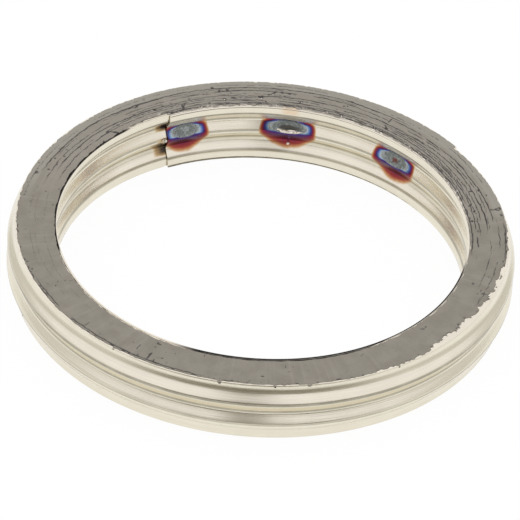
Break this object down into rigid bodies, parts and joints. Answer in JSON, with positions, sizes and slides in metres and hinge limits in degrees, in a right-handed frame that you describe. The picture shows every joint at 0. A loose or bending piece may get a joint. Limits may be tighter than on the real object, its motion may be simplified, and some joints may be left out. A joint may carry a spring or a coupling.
{
  "type": "exhaust gasket",
  "caption": "Flat ring gasket for an exhaust pipe joint: a wavy steel strip wound in a spiral with soft graphite tape between its turns, spot welded at the inside wall.",
  "frame": {"origin": "on the bore axis, in the plane of the lower sealing face", "axes": "+Z along the bore axis, up from the lower sealing face; +X to the right as the picture shows the ring from the front"},
  "size_m": [0.0655, 0.0656, 0.0085],
  "materials": {
    "steel": "bright rolled stainless, warm tint, heat-tinted round the spot welds",
    "graphite": "matte pressed graphite with a slight sheen"
  },
  "bodies": {
    "root": {"steel_strip": "steel", "graphite_filler": "graphite"}
  },
  "joints": []
}
